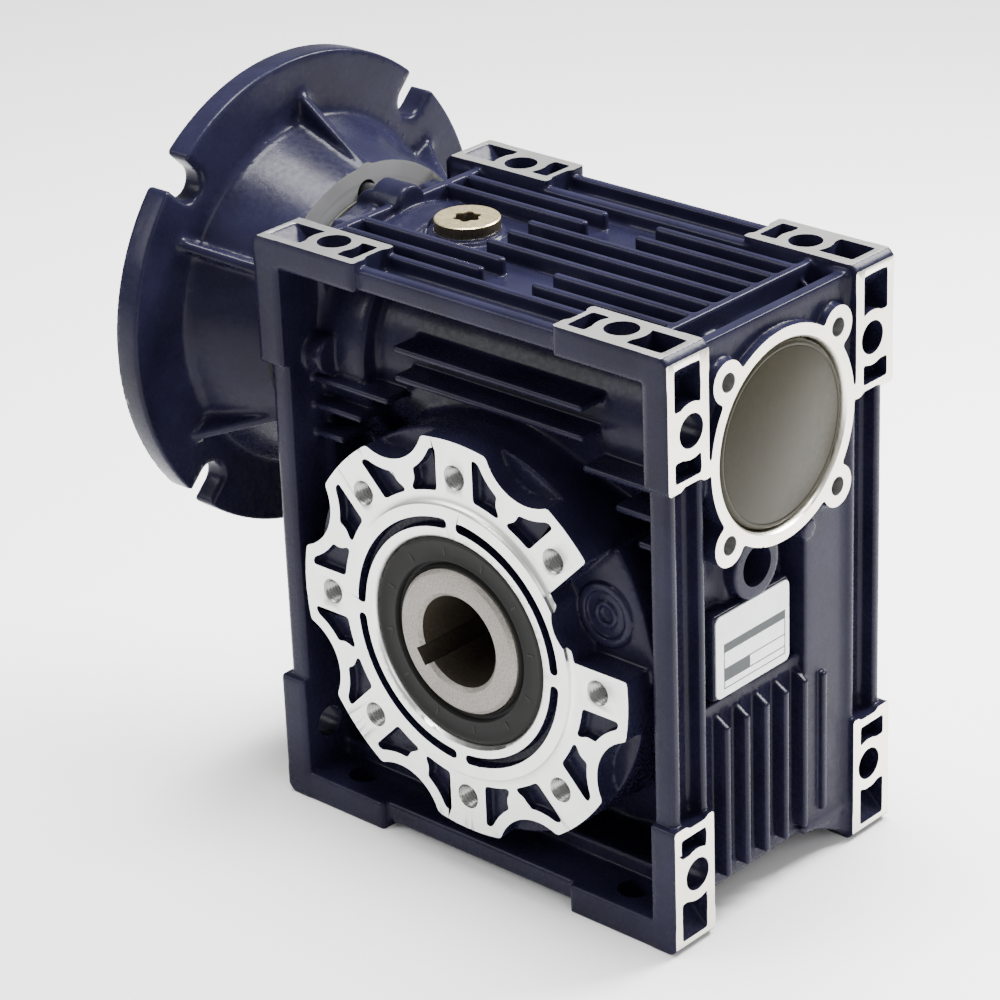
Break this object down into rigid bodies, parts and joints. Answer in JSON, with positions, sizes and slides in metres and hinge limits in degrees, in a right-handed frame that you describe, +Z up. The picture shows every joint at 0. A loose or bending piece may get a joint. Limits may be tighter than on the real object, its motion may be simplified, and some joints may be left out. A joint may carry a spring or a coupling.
{
  "type": "worm gearbox",
  "caption": "Square worm gearbox with a hollow output shaft, round motor flange, finned casting, lobed output faces and mounting pads on every side.",
  "frame": {"origin": "on the floor under the middle of the gearbox's bounding box; the output axis is 20 mm along +X and 86 mm up", "axes": "+X along the worm towards its closed end, Y along the hollow output shaft with -Y towards the front output face, +Z up"},
  "size_m": [0.2126, 0.165, 0.2436],
  "materials": {
    "navy_paint": "dark navy enamel with a fine orange-peel texture, gloss",
    "cover_alloy": "the same enamel, with the lobed face and spigot machined bright",
    "rubber": "dark grey moulded nitrile rubber",
    "screw_steel": "black oxide",
    "gasket": "compressed fibre sheet",
    "olive_cap": "olive-grey coated steel",
    "steel": "ground bearing steel",
    "zinc": "yellow zinc plate",
    "plate": "silver plate with plain dark blocks",
    "hub_iron": "machined grey iron",
    "bronze": "hobbed bronze"
  },
  "bodies": {
    "casing": {"housing": "navy_paint", "output_cover": "cover_alloy", "cover_o_ring": "rubber", "cover_screw_1": "screw_steel", "cover_screw_2": "screw_steel", "cover_screw_3": "screw_steel", "cover_screw_4": "screw_steel", "cover_screw_5": "screw_steel", "cover_screw_6": "screw_steel", "cover_screw_7": "screw_steel", "cover_screw_8": "screw_steel", "input_flange": "navy_paint", "flange_locating_ring": "steel", "flange_gasket": "gasket", "flange_screw_1": "screw_steel", "flange_screw_2": "screw_steel", "flange_screw_3": "screw_steel", "flange_screw_4": "screw_steel", "output_seal_front": "rubber", "output_seal_rear": "rubber", "input_seal": "rubber", "worm_end_cap": "olive_cap", "worm_bearing_circlip": "steel", "fill_plug": "zinc", "fill_plug_washer": "steel", "nameplate": "plate", "front_bearing_outer_ring": "steel", "rear_bearing_outer_ring": "steel", "motor_side_bearing_cup": "steel", "cap_side_bearing_cup": "steel"},
    "output": {"output_hub": "hub_iron", "worm_wheel_rim": "bronze", "front_bearing_inner_ring": "steel", "rear_bearing_inner_ring": "steel"},
    "worm": {"worm_shaft": "steel", "motor_side_bearing_cone": "steel", "cap_side_bearing_cone": "steel"},
    "front_balls": {"front_bearing_balls_and_cage": "steel"},
    "rear_balls": {"rear_bearing_balls_and_cage": "steel"},
    "motor_side_rollers": {"motor_side_bearing_rollers_and_cage": "steel"},
    "cap_side_rollers": {"cap_side_bearing_rollers_and_cage": "steel"}
  },
  "joints": [
    {"name": "output_spin", "type": "hinge", "parent": "casing", "child": "output", "pos_m": [0.02, 0, 0.086], "axis": [0, 1, 0], "continuous": true},
    {"name": "worm_spin", "type": "hinge", "parent": "casing", "child": "worm", "pos_m": [0.02, 0, 0.161], "axis": [1, 0, 0], "continuous": true},
    {"name": "front_balls_roll", "type": "hinge", "parent": "casing", "child": "front_balls", "pos_m": [0.02, -0.042, 0.086], "axis": [0, 1, 0], "continuous": true},
    {"name": "rear_balls_roll", "type": "hinge", "parent": "casing", "child": "rear_balls", "pos_m": [0.02, 0.042, 0.086], "axis": [0, 1, 0], "continuous": true},
    {"name": "motor_side_rollers_roll", "type": "hinge", "parent": "casing", "child": "motor_side_rollers", "pos_m": [-0.0547, 0, 0.161], "axis": [1, 0, 0], "continuous": true},
    {"name": "cap_side_rollers_roll", "type": "hinge", "parent": "casing", "child": "cap_side_rollers", "pos_m": [0.0892, 0, 0.161], "axis": [1, 0, 0], "continuous": true}
  ],
  "couplings": [
    {"joint": "worm_spin", "follows": "output_spin", "ratio": -60},
    {"joint": "front_balls_roll", "follows": "output_spin", "ratio": 0.4387},
    {"joint": "rear_balls_roll", "follows": "output_spin", "ratio": 0.4387},
    {"joint": "motor_side_rollers_roll", "follows": "output_spin", "ratio": -26.81},
    {"joint": "cap_side_rollers_roll", "follows": "output_spin", "ratio": -25.73}
  ]
}
